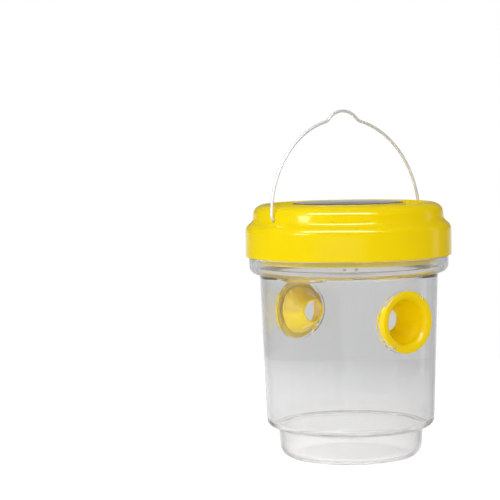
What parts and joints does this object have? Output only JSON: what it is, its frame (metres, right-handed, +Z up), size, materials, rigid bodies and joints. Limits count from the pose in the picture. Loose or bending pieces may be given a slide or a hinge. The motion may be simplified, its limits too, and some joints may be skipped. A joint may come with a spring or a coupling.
{
  "type": "wasp trap",
  "caption": "Hanging wasp trap: clear jar with entry funnels through its wall, twist-off lid with solar light module, wire bail.",
  "frame": {"origin": "centre of the underside of the jar's foot, where the trap stands", "axes": "+Z up along the jar's axis; the two entry funnels face -Y (front) and +Y (back); the bail's pivots lie near -X and +X, turned 3 degrees about +Z with the lid"},
  "size_m": [0.1248, 0.1248, 0.2111],
  "materials": {
    "clear_plastic": "clear moulded polystyrene, polished, with faint flow lines and a slight haze",
    "yellow_lid": "bright yellow gloss plastic with very fine moulding marks",
    "yellow_funnel": "bright yellow gloss plastic, slightly translucent",
    "gasket_rubber": "milky silicone, matt",
    "solar_cells": "dark blue-black cells with fine silver fingers and bus bars",
    "panel_cover": "clear cast epoxy, very smooth",
    "screw_steel": "zinc-plated steel",
    "circuit_green": "green solder mask over copper tracks",
    "led_epoxy": "violet-tinted clear epoxy",
    "clear_window": "clear polycarbonate, lightly frosted",
    "dark_plastic": "dark grey plastic",
    "knob_plastic": "black plastic, satin",
    "battery_sleeve": "green shrink sleeve with bare steel ends, no lettering",
    "contact_steel": "nickel-plated spring steel",
    "red_insulation": "red PVC insulation",
    "black_insulation": "black PVC insulation",
    "bail_wire": "bright drawn steel wire with fine die lines"
  },
  "bodies": {
    "jar": {"jar": "clear_plastic", "funnel_front": "yellow_funnel", "funnel_back": "yellow_funnel"},
    "seal": {"lid_gasket": "gasket_rubber"},
    "lid": {"lid_shell": "yellow_lid", "solar_cell_board": "solar_cells", "solar_panel_cover": "panel_cover", "light_housing": "yellow_lid", "housing_screw_1": "screw_steel", "housing_screw_2": "screw_steel", "housing_screw_3": "screw_steel", "circuit_board": "circuit_green", "board_screw_1": "screw_steel", "board_screw_2": "screw_steel", "uv_led_left": "led_epoxy", "uv_led_right": "led_epoxy", "led_window": "clear_window", "switch_body": "dark_plastic", "battery": "battery_sleeve", "battery_contact": "contact_steel", "battery_spring": "contact_steel", "battery_door": "yellow_lid", "battery_door_screw": "screw_steel", "panel_lead_red": "red_insulation", "panel_lead_black": "black_insulation", "battery_lead_red": "red_insulation", "battery_lead_black": "black_insulation"},
    "switch": {"switch_knob": "knob_plastic"},
    "bail": {"bail": "bail_wire"}
  },
  "joints": [
    {"name": "lid_turn", "type": "hinge", "parent": "jar", "child": "seal", "pos_m": [0, 0, 0.1392], "axis": [0, 0, 1], "range_deg": [-45, 0]},
    {"name": "lid_lift", "type": "slide", "parent": "seal", "child": "lid", "axis": [0, 0, 1], "range_m": [0, 0.06]},
    {"name": "bail_swing", "type": "hinge", "parent": "lid", "child": "bail", "pos_m": [0, 0, 0.1463], "axis": [0.9986, 0.0523, 0], "range_deg": [-86, 93]},
    {"name": "switch_slide", "type": "slide", "parent": "lid", "child": "switch", "axis": [0.9986, 0.0523, 0], "range_m": [0, 0.004]}
  ]
}
